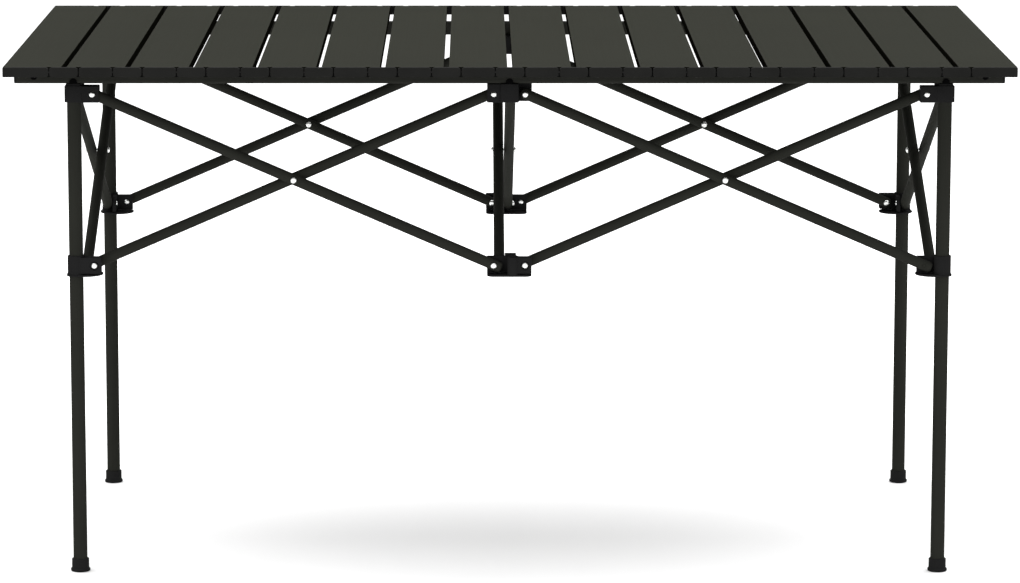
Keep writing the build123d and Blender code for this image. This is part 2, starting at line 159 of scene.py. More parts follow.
def post_places():
    """Plan position of every post, from the legs' boxes."""
    places = {post: middle(post + "_leg") for post in CORNERS}
    for side in ("front", "back"):
        places[side + "_centre"] = (places[side + "_left"] + places[side + "_right"]) / 2
    return {post: (place.x, place.y) for post, place in places.items()}


POSTS = post_places()

# Each scissor: the post under which its outer brace hangs, the same for its inner brace, and
# the direction from the outer brace to the inner one.
SCISSORS = {
    "front_left": ("front_left", "front_centre", (0, 1)),
    "front_right": ("front_centre", "front_right", (0, 1)),
    "back_left": ("back_centre", "back_left", (0, -1)),
    "back_right": ("back_right", "back_centre", (0, -1)),
    "left_end": ("front_left", "back_left", (1, 0)),
    "right_end": ("front_right", "back_right", (-1, 0)),
    "centre": ("front_centre", "back_centre", (-1, 0)),
}


# Materials

class Nodes:
    """Short way to build a material's node tree."""

    def __init__(self, name):
        self.material = bpy.data.materials.new(name)
        self.material.use_nodes = True
        self.tree = self.material.node_tree
        self.shader = self.tree.nodes["Principled BSDF"]
        place = self.tree.nodes.new("ShaderNodeTexCoord")
        self.place = place.outputs["Object"]

    def link(self, source, target):
        self.tree.links.new(source, target)

    def stretched(self, scale):
        """Object coordinates multiplied by a vector."""
        mapping = self.tree.nodes.new("ShaderNodeMapping")
        mapping.inputs["Scale"].default_value = scale
        self.link(self.place, mapping.inputs["Vector"])
        return mapping.outputs["Vector"]

    def noise(self, scale, detail=2.0, vector=None, roughness=0.5):
        node = self.tree.nodes.new("ShaderNodeTexNoise")
        node.inputs["Scale"].default_value = scale
        node.inputs["Detail"].default_value = detail
        node.inputs["Roughness"].default_value = roughness
        self.link(vector or self.place, node.inputs["Vector"])
        return node.outputs["Fac"]

    def spread(self, value, low, high):
        """Map the middle of a noise to a range."""
        node = self.tree.nodes.new("ShaderNodeMapRange")
        node.inputs["From Min"].default_value = 0.3
        node.inputs["From Max"].default_value = 0.7
        node.inputs["To Min"].default_value = low
        node.inputs["To Max"].default_value = high
        self.link(value, node.inputs["Value"])
        return node.outputs["Result"]

    def blend(self, factor, first, second):
        node = self.tree.nodes.new("ShaderNodeMix")
        node.data_type = "RGBA"
        node.inputs["A"].default_value = (*first, 1)
        node.inputs["B"].default_value = (*second, 1)
        self.link(factor, node.inputs["Factor"])
        return node.outputs["Result"]

    def bump(self, height, strength, distance, below=None):
        node = self.tree.nodes.new("ShaderNodeBump")
        node.inputs["Strength"].default_value = strength
        node.inputs["Distance"].default_value = distance
        self.link(height, node.inputs["Height"])
        if below:
            self.link(below, node.inputs["Normal"])
        return node.outputs["Normal"]


def shade(colour, factor):
    """A colour made lighter or darker."""
    return tuple(channel * factor for channel in colour)


def powder_coat(name, colour, roughness, gloss):
    """Satin powder coat on metal: fine orange peel and a slight mottle."""
    nodes = Nodes(name)
    mottle = nodes.spread(nodes.noise(9.0, 3.0), 0.0, 1.0)
    nodes.link(nodes.blend(mottle, shade(colour, 0.93), shade(colour, 1.07)),
               nodes.shader.inputs["Base Color"])
    nodes.link(nodes.spread(nodes.noise(60.0, 4.0), roughness - 0.04, roughness + 0.04),
               nodes.shader.inputs["Roughness"])
    peel = nodes.bump(nodes.noise(650.0, 2.0), 0.25, 0.02 * MM)
    grain = nodes.bump(nodes.noise(3200.0, 2.0), 0.2, 0.008 * MM, peel)
    nodes.link(grain, nodes.shader.inputs["Normal"])
    nodes.shader.inputs["Specular IOR Level"].default_value = gloss
    return nodes.material


def brushed_coat(name, colour, roughness, gloss):
    """Dark coating over drawn aluminium: long faint streaks along Y, under a fine grain."""
    nodes = Nodes(name)
    streaks = nodes.noise(1.0, 5.0, nodes.stretched((520.0, 3.0, 520.0)), 0.6)
    cloud = nodes.noise(5.0, 3.0)
    tone = nodes.blend(nodes.spread(cloud, 0.0, 1.0), shade(colour, 0.95), shade(colour, 1.05))
    nodes.link(tone, nodes.shader.inputs["Base Color"])
    nodes.link(nodes.spread(streaks, roughness - 0.01, roughness + 0.01),
               nodes.shader.inputs["Roughness"])
    drawn = nodes.bump(streaks, 0.05, 0.01 * MM)
    grain = nodes.bump(nodes.noise(2600.0, 2.0), 0.22, 0.008 * MM, drawn)
    nodes.link(grain, nodes.shader.inputs["Normal"])
    nodes.shader.inputs["Specular IOR Level"].default_value = gloss
    return nodes.material


def moulded_plastic(name, colour, roughness, gloss):
    """Moulded plastic with a fine spark-eroded texture."""
    nodes = Nodes(name)
    flow = nodes.spread(nodes.noise(24.0, 2.0), 0.0, 1.0)
    nodes.link(nodes.blend(flow, shade(colour, 0.9), shade(colour, 1.1)),
               nodes.shader.inputs["Base Color"])
    nodes.link(nodes.spread(nodes.noise(180.0, 3.0), roughness - 0.05, roughness + 0.05),
               nodes.shader.inputs["Roughness"])
    texture = nodes.bump(nodes.noise(2400.0, 3.0), 0.35, 0.02 * MM)
    nodes.link(texture, nodes.shader.inputs["Normal"])
    nodes.shader.inputs["Specular IOR Level"].default_value = gloss
    return nodes.material


def zinc_plate(name, colour):
    """Bright zinc plate, with faint turning marks and a little staining."""
    nodes = Nodes(name)
    stain = nodes.spread(nodes.noise(300.0, 3.0), 0.0, 1.0)
    nodes.link(nodes.blend(stain, shade(colour, 0.92), colour), nodes.shader.inputs["Base Color"])
    nodes.link(nodes.spread(nodes.noise(700.0, 2.0), 0.24, 0.38), nodes.shader.inputs["Roughness"])
    nodes.link(nodes.bump(nodes.noise(1500.0, 2.0), 0.2, 0.02 * MM), nodes.shader.inputs["Normal"])
    nodes.shader.inputs["Metallic"].default_value = 1.0
    return nodes.material


def woven_cord(name, colour):
    """Braided cover of an elastic cord."""
    nodes = Nodes(name)
    weave = nodes.tree.nodes.new("ShaderNodeTexWave")
    weave.bands_direction = "DIAGONAL"
    weave.inputs["Scale"].default_value = 420.0
    weave.inputs["Distortion"].default_value = 2.0
    nodes.link(nodes.place, weave.inputs["Vector"])
    nodes.link(nodes.blend(weave.outputs["Fac"], shade(colour, 0.6), colour),
               nodes.shader.inputs["Base Color"])
    nodes.link(nodes.bump(weave.outputs["Fac"], 0.6, 0.1 * MM), nodes.shader.inputs["Normal"])
    nodes.shader.inputs["Roughness"].default_value = 0.85
    return nodes.material


SLAT_COAT = brushed_coat("slat_coat", (0.0085, 0.0090, 0.0052), 0.75, 0.025)
# Painted shade: a near-black coat on the slats' side faces that face the gaps between slats, standing for the
# shade in those gaps.
SLAT_GAP_SHADE = powder_coat("slat_gap_painted_shade", (0.0030, 0.0031, 0.0022), 0.75, 0.0)
TUBE_COAT = powder_coat("tube_coat", (0.0172, 0.0177, 0.0150), 0.60, 0.003)
RAIL_COAT = powder_coat("rail_coat", (0.0176, 0.0180, 0.0155), 0.60, 0.01)
CAP_PLASTIC = moulded_plastic("cap_plastic", (0.0108, 0.0108, 0.0102), 0.65, 0.02)
HUB_PLASTIC = moulded_plastic("hub_plastic", (0.0118, 0.0118, 0.0119), 0.70, 0.004)
# Near-black plastic for the rail buttons and tabs; on the panels' end faces it is painted shade for the grooves
# and notches between the caps.
DARK_PLASTIC_AND_SHADE = moulded_plastic("dark_plastic_and_painted_shade", (0.0014, 0.0014, 0.0015), 0.6, 0.01)
FOOT_PLASTIC = moulded_plastic("foot_plastic", (0.0112, 0.0112, 0.0112), 0.65, 0.02)
ZINC = zinc_plate("zinc_plate", (0.86, 0.87, 0.85))
CORD = woven_cord("elastic_cord", (0.01, 0.01, 0.01))


# Mesh building

def rounded(bm, radius, segments=3, angle=0.6):
    """Round every edge of a closed mesh that is sharper than an angle."""
    edges = [edge for edge in bm.edges if edge.is_manifold and edge.calc_face_angle() > angle]
    bmesh.ops.bevel(bm, geom=edges, offset=radius, segments=segments, profile=0.5,
                    affect="EDGES", clamp_overlap=True)
    return bm


def soft_box(x, y, z, radius, upright=0.0):
    """Box between limits, all its edges rounded; upright is a larger radius for the Z edges."""
    bm = bmesh.new()
    bmesh.ops.create_cube(bm, size=1)
    limits = [sorted(pair) for pair in (x, y, z)]
    for vert in bm.verts:
        vert.co = Vector([pair[1] if side > 0 else pair[0] for side, pair in zip(vert.co, limits)])
    if upright:
        edges = [edge for edge in bm.edges
                 if abs(edge.verts[0].co.z - edge.verts[1].co.z) > 1e-7]
        bmesh.ops.bevel(bm, geom=edges, offset=upright, segments=6, profile=0.5, affect="EDGES")
    return rounded(bm, radius)


def lathe(profile, steps=48):
    """Solid of revolution about Z from (radius, height) points; a closed profile makes a ring."""
    bm = bmesh.new()
    rings = []
    for radius, height in profile:
        count = 1 if radius < 1e-9 else steps
        turns = [2 * math.pi * step / steps for step in range(count)]
        rings.append([bm.verts.new((radius * math.cos(turn), radius * math.sin(turn), height))
                      for turn in turns])
    pairs = list(zip(rings, rings[1:]))
    if len(rings[0]) > 1 and len(rings[-1]) > 1:
        pairs.append((rings[-1], rings[0]))
    for first, second in pairs:
        for step in range(steps):
            after = (step + 1) % steps
            corners = [first[step % len(first)], first[after % len(first)],
                       second[after % len(second)], second[step % len(second)]]
            bm.faces.new(list(dict.fromkeys(corners)))
    bmesh.ops.recalc_face_normals(bm, faces=bm.faces)
    return bm


def arc(centre, radius, start, end, steps=6):
    """Points on an arc in a plane, angles in degrees."""
    turns = [math.radians(start + (end - start) * step / steps) for step in range(steps + 1)]
    return [(centre[0] + radius * math.cos(turn), centre[1] + radius * math.sin(turn))
            for turn in turns]


def prism(outline, depth):
    """Closed solid over an outline in XY, from z = 0 to depth."""
    bm = bmesh.new()
    face = bm.faces.new([bm.verts.new((a, b, 0)) for a, b in outline])
    moved = bmesh.ops.extrude_face_region(bm, geom=[face])["geom"]
    bmesh.ops.translate(bm, verts=[v for v in moved if isinstance(v, bmesh.types.BMVert)],
                        vec=(0, 0, depth))
    bmesh.ops.recalc_face_normals(bm, faces=bm.faces)
    return bm


def rounded_rectangle(x, z, corner):
    """Outline of a rectangle with round corners, anticlockwise."""
    x0, x1 = x
    z0, z1 = z
    return (arc((x1 - corner, z0 + corner), corner, -90, 0, 5)
            + arc((x1 - corner, z1 - corner), corner, 0, 90, 5)
            + arc((x0 + corner, z1 - corner), corner, 90, 180, 5)
            + arc((x0 + corner, z0 + corner), corner, 180, 270, 5))


def placed(bm, x_dir, y_dir, z_dir, origin):
    """Move a mesh from its own axes to a place on the table."""
    turn = Matrix((x_dir, y_dir, z_dir)).transposed()
    bm.transform(Matrix.Translation(Vector(origin)) @ turn.to_4x4())
    bmesh.ops.recalc_face_normals(bm, faces=bm.faces)
    return bm


def standing(bm, x, y):
    """Move an upright mesh to a point of the plan."""
    return placed(bm, (1, 0, 0), (0, 1, 0), (0, 0, 1), (x, y, 0))


def mesh_of(bm, name):
    """Turn a working mesh into mesh data, and free it."""
    mesh = bpy.data.meshes.new(name)
    bm.to_mesh(mesh)
    bm.free()
    return mesh


def fused(solids, cuts, name):
    """One mesh from overlapping solids, less the cuts."""
    objects = []
    for bm in solids + cuts:
        obj = bpy.data.objects.new("working", mesh_of(bm, "working"))
        bpy.context.scene.collection.objects.link(obj)
        objects.append(obj)
    base = objects[0]
    for index, obj in enumerate(objects[1:], 1):
        step = base.modifiers.new("step", "BOOLEAN")
        step.operation = "UNION" if index < len(solids) else "DIFFERENCE"
        step.solver = "EXACT"
        step.object = obj
    depsgraph = bpy.context.evaluated_depsgraph_get()
    mesh = bpy.data.meshes.new_from_object(base.evaluated_get(depsgraph))
    for obj in objects:
        bpy.data.meshes.remove(obj.data)
    mesh.name = name
    return mesh


def add_piece(name, mesh, material, body, sharp=32):
    """Put a mesh on a body, smooth but for its sharp edges."""
    obj = bpy.data.objects.new(name, mesh)
    bpy.context.scene.collection.objects.link(obj)
    mesh.materials.clear()
    mesh.materials.append(material)
    mesh.shade_smooth()
    mesh.set_sharp_from_angle(angle=math.radians(sharp))
    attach(obj, body)
    return obj


# Slats

SLAT_LOW, SLAT_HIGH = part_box(f"slat_{SLAT_COUNT:02d}")
HINGE_Z = (SLAT_LOW.z + SLAT_HIGH.z) / 2
HALF_THICK = (SLAT_HIGH.z - SLAT_LOW.z) / 2
HALF_DEPTH = SLAT_HIGH.y
HALF_WIDTH = (SLAT_HIGH.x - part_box("slat_01")[0].x) / 2
PITCH = JOINTS["slat_10_hinge"]["pos_m"][0] - JOINTS["top_roll"]["pos_m"][0]
SLAT_WIDTH = 2 * (HALF_WIDTH - PITCH * (SLAT_COUNT - 1) / 2)
CAP_LEFT = SWING_RADIUS + LINK_GROOVE - PITCH / 2
CAP_RIGHT = PITCH / 2 - LINK_HALF - LINK_GROOVE


def slat_centre(number):
    return (number - (SLAT_COUNT + 1) / 2) * PITCH


def along_y(bm, x, y, facing):
    """Stand a prism whose outline is (x, z) on end: it runs from y in the direction facing."""
    return placed(bm, (1, 0, 0), (0, 0, 1), (0, facing, 0), (x, y, HINGE_Z))


def panel_outline():
    """Slat section, with two shallow draw marks on its underside."""
    half = SLAT_WIDTH / 2
    corner = SLAT_CORNER
    mark = DRAW_MARK
    points = arc((-half + corner, -HALF_THICK + corner), corner, 180, 270)
    for x in (-SLAT_WIDTH / 6, SLAT_WIDTH / 6):
        points += [(x - mark, -HALF_THICK), (x, -HALF_THICK + mark), (x + mark, -HALF_THICK)]
    points += arc((half - corner, -HALF_THICK + corner), corner, 270, 360)
    points += arc((half - corner, HALF_THICK - corner), corner, 0, 90)
    points += arc((-half + corner, HALF_THICK - corner), corner, 90, 180)
    return points


def add_panel(number, body):
    """Extruded panel of one slat, its end faces and its side faces in the gaps between slats painted near-black as
    shade.
    """
    length = 2 * (HALF_DEPTH - CAP_DEPTH)
    bm = along_y(prism(panel_outline(), length), slat_centre(number), HALF_DEPTH - CAP_DEPTH, -1)
    node = f"slat_{number:02d}"
    piece = add_piece(node + "_panel", mesh_of(bm, node), SLAT_COAT, body)
    piece.data.materials.append(DARK_PLASTIC_AND_SHADE)
    piece.data.materials.append(SLAT_GAP_SHADE)
    for face in piece.data.polygons:
        # End faces, seen in the grooves and notches at the caps: painted shade.
        if abs(face.normal.y) > 0.9:
            face.material_index = 1
        # Side faces facing the gaps between slats: painted shade.
        elif abs(face.normal.x) > 0.9 and abs(face.center.x) < slat_centre(SLAT_COUNT) + 1 * MM:
            face.material_index = 2
    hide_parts(node)


def end_fitting(outline, x, edge):
    """Moulded plate at one end of the slats, its face rounded at the rim."""
    bm = along_y(prism(outline, CAP_DEPTH), x, edge * (HALF_DEPTH - CAP_DEPTH), edge)
    face = edge * HALF_DEPTH
    rim = [e for e in bm.edges if all(abs(v.co.y - face) < 1e-6 for v in e.verts)]
    bmesh.ops.bevel(bm, geom=rim, offset=CAP_RIM, segments=4, profile=0.5, affect="EDGES")
    return bm


def corner_pair(x, toward, cut):
    """Upright side of an outline at x, running upward, with a chamfer at its foot and its head."""
    wide, tall = cut
    top = HALF_THICK
    return [(x + toward * wide, -top), (x, tall - top), (x, top - tall), (x + toward * wide, top)]


def cap_outline(number):
    """Cap between its grooves, chamfered at each groove and square at the table's two ends."""
    if number == 1:
        left = corner_pair(-SLAT_WIDTH / 2, 1, END_CHAMFER)
    else:
        left = corner_pair(CAP_LEFT + GROOVE_EXTRA, 1, CAP_CHAMFER)
    if number == SLAT_COUNT:
        right = corner_pair(SLAT_WIDTH / 2, -1, END_CHAMFER)
    else:
        right = corner_pair(CAP_RIGHT - GROOVE_EXTRA, -1, CAP_CHAMFER)
    return right + left[::-1]


def link_outline():
    """Link seen from its end: square on its own slat, round about the hinge on the other."""
    wide, tall = CAP_CHAMFER
    top = HALF_THICK
    swing_radius = SWING_RADIUS - GROOVE_EXTRA
    swing = math.degrees(math.asin((top - tall) / swing_radius))
    side = arc((0, 0), swing_radius, -swing, swing, 10)
    left = corner_pair(GROOVE_EXTRA - LINK_HALF, 1, CAP_CHAMFER)
    return [(side[0][0] - wide, -top), *side, (side[0][0] - wide, top)] + left[::-1]


def cord_run(number):
    """X limits of the cord that one slat carries."""
    x = slat_centre(number)
    low = x - SLAT_WIDTH / 2 + CORD_END_DEPTH if number == 1 else x + CAP_LEFT
    high = x + PITCH / 2 + SWING_RADIUS - CORD_END_GAP
    if number == SLAT_COUNT:
        high = x + SLAT_WIDTH / 2 - CORD_END_DEPTH
    return low, high


def add_slat(number):
    """Panel, and a cap, link and cord at each end."""
    node = f"slat_{number:02d}"
    body = BODY_OF[node]
    add_panel(number, body)
    for side, edge in (("front", -1), ("back", 1)):
        cap = end_fitting(cap_outline(number), slat_centre(number), edge)
        add_piece(f"{node}_{side}_cap", mesh_of(cap, "cap"), CAP_PLASTIC, body)
        if number < SLAT_COUNT:
            link = end_fitting(link_outline(), slat_centre(number) + PITCH / 2, edge)
            add_piece(f"{node}_{side}_link", mesh_of(link, "link"), CAP_PLASTIC, body)
        low, high = cord_run(number)
        tip = CORD_RADIUS * 0.3
        profile = [(0, 0), (CORD_RADIUS - tip, 0), (CORD_RADIUS, tip),
                   (CORD_RADIUS, high - low - tip), (CORD_RADIUS - tip, high - low),
                   (0, high - low)]
        cord = placed(lathe(profile, 16), (0, 1, 0), (0, 0, 1), (1, 0, 0),
                      (low, edge * (HALF_DEPTH - CAP_DEPTH / 2), HINGE_Z))
        add_piece(f"{node}_{side}_cord", mesh_of(cord, "cord"), CORD, body)


# Rails and their fittings

def add_rail_fittings():
    """End plugs, round buttons and arched tabs, as separate mouldings."""
    first = None
    for side, facing in (("front", -1), ("back", 1)):
        low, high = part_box(side + "_rail")
        centre_y = (low.y + high.y) / 2
        outer_y = centre_y + facing * (high.y - low.y) / 2
        half = Vector(((high.x - low.x) / 2, (high.y - low.y) / 2, (high.z - low.z) / 2))
        for end_name, end in (("left", -1), ("right", 1)):
            outline = rounded_rectangle((-half.y, half.y), (-half.z, half.z), RAIL_CORNER)
            plug = rounded(prism(outline, PLUG_DEPTH), PLUG_EDGE, 3, 1.0)
            placed(plug, (0, 1, 0), (0, 0, 1), (end, 0, 0),
                   (end * half.x, centre_y, (low.z + high.z) / 2))
            piece = add_piece(f"{side}_rail_{end_name}_plug", mesh_of(plug, "plug"), CAP_PLASTIC,
                              "tabletop")
            first = first or piece
            x = end * (half.x + PLUG_DEPTH - BUTTON_FROM_END)
            profile = [(0, BUTTON_RISE), (BUTTON_RADIUS * 0.55, BUTTON_RISE * 0.95),
                       (BUTTON_RADIUS * 0.85, BUTTON_RISE * 0.6), (BUTTON_RADIUS, 0),
                       (BUTTON_RADIUS, -BUTTON_DEPTH), (0, -BUTTON_DEPTH)]
            button = placed(lathe(profile), (1, 0, 0), (0, 0, 1), (0, facing, 0),
                            (x, outer_y, low.z + BUTTON_UP))
            add_piece(f"{side}_rail_{end_name}_button", mesh_of(button, "button"), DARK_PLASTIC_AND_SHADE,
                      "tabletop")
        for place in ("left", "centre", "right"):
            x = POSTS[f"{side}_{place}"][0]
            radius = TAB_WIDTH / 2
            outline = ([(-radius, 0), (radius, 0)]
                       + arc((0, TAB_HEIGHT - radius), radius, 0, 180, 14))
            tab = prism(outline, TAB_THICK)
            rim = [e for e in tab.edges if all(v.co.z > TAB_THICK - 1e-7 for v in e.verts)]
            bmesh.ops.bevel(tab, geom=rim, offset=TAB_EDGE, segments=3, profile=0.5, affect="EDGES")
            placed(tab, (1, 0, 0), (0, 0, 1), (0, facing, 0), (x, outer_y, low.z))
            add_piece(f"{side}_rail_{place}_tab", mesh_of(tab, "tab"), DARK_PLASTIC_AND_SHADE,
                      "tabletop")
    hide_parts("rail_plugs_and_tabs")


# Hubs and sliders

def heading(post, other):
    start, end = Vector(POSTS[post]), Vector(POSTS[other])
    return tuple((end - start).normalized())


def arms_at(post, level):
    """Every arm of a hub: scissor, brace layer, and directions in plan."""
    arms = []
    for scissor, (outer_post, inner_post, side) in SCISSORS.items():
        if post not in (outer_post, inner_post):
            continue
        other = inner_post if post == outer_post else outer_post
        hangs_outer = (post == outer_post) == (level == "top")
        arms.append((scissor, "outer" if hangs_outer else "inner", heading(post, other), side))
    return arms


def pivot_reach(post, along):
    """Distance from a post to the pivot on an arm: shorter along X at a middle post."""
    if post.endswith("centre") and abs(along[0]) > 0.5:
        return abs(JOINTS["frame_fold"]["pos_m"][0] - POSTS["front_centre"][0])
    return abs(JOINTS["front_left_slider_pivot"]["pos_m"][0] - POSTS["front_left"][0])


def on_arm(bm, post, along, side):
    """From an arm's own axes (out, towards the inner brace, up) to the table's."""
    return placed(bm, (*along, 0), (*side, 0), (0, 0, 1), (*POSTS[post], 0))


def across_arm(bm, post, along, side, u, v, z):
    """A turned shape, made along Z, laid along an arm's pivot line from v."""
    placed(bm, (1, 0, 0), (0, 0, -1), (0, 1, 0), (u, v, z))
    return on_arm(bm, post, along, side)


def arm_front(post):
    """How far in front of the brace line an arm's front face is."""
    return -HUB_HALF + (ARM_INSET if post in CORNERS else CENTRE_ARM_INSET)


def disc(radius, low, high):
    """Profile of a plain round slug."""
    return [(0, low), (radius, low), (radius, high), (0, high)]


def arm_solids(post, level, layer, along, side):
    """Solids of one arm, and the recesses cut into it round its rivet."""
    pivot_z = TOP_PIVOT_Z if level == "top" else LOW_PIVOT_Z
    u1 = pivot_reach(post, along) + ARM_END
    z = (pivot_z - ARM_HALF_HEIGHT, pivot_z + ARM_HALF_HEIGHT)
    if level == "top" and post not in CORNERS:
        z = (z[0], HUB_TOP - 0.3 * MM)
    front = arm_front(post)
    solids = []
    if layer == "inner":
        face = INNER_PLANE - BRACE_RADIUS - GAP
        solids.append(soft_box((ARM_START, u1), (front, face), z, HUB_EDGE))
        rivet_face = front
    else:
        back_face = OUTER_PLANE + BRACE_RADIUS + GAP
        solids.append(soft_box((ARM_START, u1), (back_face, ARM_BACK), z, HUB_EDGE))
        rivet_face = ARM_BACK
        if level == "top" and post in CORNERS:
            front_face = OUTER_PLANE - BRACE_RADIUS - GAP
            solids.append(soft_box((ARM_START, u1), (front, front_face), z, HUB_EDGE))
            solids.append(soft_box((5 * MM, u1 - ARM_END - 1 * MM),
                                   (front + 0.2 * MM, ARM_BACK - 0.2 * MM),
                                   (z[1] - ARM_WEB, z[1] - 0.1 * MM), HUB_EDGE))
    solids = [on_arm(bm, post, along, side) for bm in solids]
    sunk = RECESS_DEPTH if rivet_face < 0 else -RECESS_DEPTH
    ring = lathe(disc(RECESS_RADIUS, min(0, sunk) - (RECESS_OVERRUN if sunk > 0 else 0),
                      max(0, sunk) + (RECESS_OVERRUN if sunk < 0 else 0)))
    cuts = [across_arm(ring, post, along, side, u1 - ARM_END, rivet_face, pivot_z)]
    return solids, cuts


def rivet_profile(length, low_head, high_head):
    """Domed rivet along Z, its shank from 0 to length; a missing head leaves a flush end."""
    turns = [math.radians(70 * step / 7) for step in range(8)]
    dome = [(HEAD_RADIUS * math.cos(turn), HEAD_HEIGHT * math.sin(turn)) for turn in turns]
    dome += [(DIMPLE_RADIUS, HEAD_HEIGHT * 0.93),
             (DIMPLE_RADIUS * 0.8, HEAD_HEIGHT - DIMPLE_DEPTH * 0.8),
             (0, HEAD_HEIGHT - DIMPLE_DEPTH)]
    profile = []
    if low_head:
        profile += [(radius, -rise - HEAD_RIM) for radius, rise in reversed(dome)]
        profile += [(HEAD_RADIUS, 0), (PIN_RADIUS, 0)]
    else:
        profile += [(0, 0), (PIN_RADIUS, 0)]
    if high_head:
        profile += [(PIN_RADIUS, length), (HEAD_RADIUS, length)]
        profile += [(radius, length + rise + HEAD_RIM) for radius, rise in dome]
    else:
        profile += [(PIN_RADIUS, length), (0, length)]
    return [(0 if radius < 1e-9 else radius, height) for radius, height in profile]


def add_arm_rivet(post, level, layer, along, side, body, name):
    """Rivet through a brace and its arm."""
    pivot_z = TOP_PIVOT_Z if level == "top" else LOW_PIVOT_Z
    front = arm_front(post) + RECESS_DEPTH
    if layer == "inner":
        v0, v1 = front, INNER_PLANE + BRACE_RADIUS + GAP
    elif level == "top" and post in CORNERS:
        v0, v1 = front - RECESS_DEPTH, ARM_BACK - RECESS_DEPTH
    else:
        v0, v1 = OUTER_PLANE - BRACE_RADIUS - GAP, ARM_BACK - RECESS_DEPTH
    flush = name in FLUSH_RIVETS
    if flush:
        v0 = OUTER_PLANE - BRACE_RADIUS
    bm = lathe(rivet_profile(v1 - v0, not flush, True), 40)
    across_arm(bm, post, along, side, pivot_reach(post, along), v0, pivot_z)
    add_piece(name, mesh_of(bm, "rivet"), TUBE_COAT if flush else ZINC, body)


def corner_hub_core(post):
    """Square cap on a leg, and the neck between it and the rail."""
    x, y = POSTS[post]
    body = soft_box((x - HUB_HALF, x + HUB_HALF), (y - HUB_HALF, y + HUB_HALF),
                    (HUB_BODY_LOW, HUB_BODY_HIGH), HUB_EDGE, 2 * MM)
    neck = soft_box((x - NECK_HALF, x + NECK_HALF), (y - NECK_HALF, y + NECK_HALF),
                    (HUB_BODY_HIGH - 3 * MM, HUB_TOP), 0.4 * MM, 3 * MM)
    return [body, neck]


def inward(post):
    x, y = POSTS[post]
    return (-math.copysign(1, x), -math.copysign(1, y))


def slider_core(post):
    """Barrel on a leg, its round flange and the web behind the arms."""
    x, y = POSTS[post]
    sx, sy = inward(post)
    rim = BARREL_RIM
    barrel = lathe([(0, SLIDER_LOW)]
                   + arc((SLIDER_RADIUS - rim, SLIDER_LOW + rim), rim, -90, 0, 4)
                   + arc((SLIDER_RADIUS - rim, SLIDER_HIGH - rim), rim, 0, 90, 4)
                   + [(0, SLIDER_HIGH)], 64)
    standing(barrel, x, y)
    rim = FLANGE_RIM
    flange = lathe([(0, SLIDER_LOW + 0.05 * MM)]
                   + arc((FLANGE_RADIUS - rim, SLIDER_LOW + rim), rim, -90, 0, 5)
                   + arc((FLANGE_RADIUS - rim, SLIDER_LOW + FLANGE_THICK - rim), rim, 0, 90, 5)
                   + [(0, SLIDER_LOW + FLANGE_THICK)], 80)
    standing(flange, x + sx * FLANGE_OFFSET, y + sy * FLANGE_OFFSET)
    bead = lathe([(0, SLIDER_LOW + 0.02 * MM)]
                 + arc((BEAD_RADIUS - rim, SLIDER_LOW + rim + 0.02 * MM), rim, -90, 90, 8)
                 + [(0, SLIDER_LOW + 2 * rim + 0.02 * MM)], 64)
    standing(bead, x, y)
    web = soft_box((x + sx * 2 * MM, x + sx * (HUB_HALF - 0.3 * MM)),
                   (y + sy * 2 * MM, y + sy * (HUB_HALF - 0.3 * MM)),
                   (SLIDER_LOW + 1 * MM, LOW_PIVOT_Z + ARM_HALF_HEIGHT - 0.2 * MM), HUB_EDGE)
    return [barrel, flange, bead, web]


def centre_hub_core(post, level):
    """Block between the arms of a middle hub, and the low hub's plate."""
    x, y = POSTS[post]
    sy = inward(post)[1]
    depth = (y - sy * HUB_HALF, y + sy * ARM_BACK)
    if level == "top":
        return [soft_box((x - CENTRE_HUB_HALF, x + CENTRE_HUB_HALF), depth,
                         (HUB_BODY_LOW - 0.2 * MM, HUB_TOP), HUB_EDGE, 1.5 * MM)]
    outer_side = [along[0] for _, layer, along, _ in arms_at(post, level)
                  if layer == "outer" and abs(along[0]) > 0.5][0]
    body = soft_box((x - outer_side * CENTRE_HUB_HALF, x + outer_side * LOW_HUB_RECESS), depth,
                    (SLIDER_LOW + 0.1 * MM, LOW_PIVOT_Z + ARM_HALF_HEIGHT + 0.3 * MM),
                    HUB_EDGE, LOW_HUB_CORNER)
    plate = soft_box((x - PLATE_HALF, x + PLATE_HALF),
                     (y - sy * HUB_HALF,
                      y + sy * (pivot_reach("front_left", (1, 0)) + ARM_END)),
                     (SLIDER_LOW, SLIDER_LOW + FLANGE_THICK), PLATE_EDGE, PLATE_CORNER)
    return [body, plate]


def add_hub(post, level):
    """Hub or slider as one moulding, with its rivets."""
    part = "top_hub" if level == "top" else ("slider" if post in CORNERS else "low_hub")
    node = f"{post}_{part}"
    body = BODY_OF[node]
    if post not in CORNERS:
        solids = centre_hub_core(post, level)
    elif level == "top":
        solids = corner_hub_core(post)
    else:
        solids = slider_core(post)
    cuts = []
    for scissor, layer, along, side in arms_at(post, level):
        more, recesses = arm_solids(post, level, layer, along, side)
        solids += more
        cuts += recesses
        add_arm_rivet(post, level, layer, along, side, body, f"{node}_{scissor}_rivet")
    x, y = POSTS[post]
    if part == "slider":
        bore = disc(SLIDER_BORE, SLIDER_LOW - CUT_OVERRUN, SLIDER_HIGH + CUT_OVERRUN)
        cuts.append(standing(lathe(bore, 64), x, y))
    elif post in CORNERS:
        socket = disc(SOCKET_RADIUS, HUB_BODY_LOW - CUT_OVERRUN, HUB_BODY_LOW + SOCKET_LIP)
        cuts.append(standing(lathe(socket, 64), x, y))
    piece = add_piece(node + "_moulding", fused(solids, cuts, node), HUB_PLASTIC, body,
                      28)
    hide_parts(node)


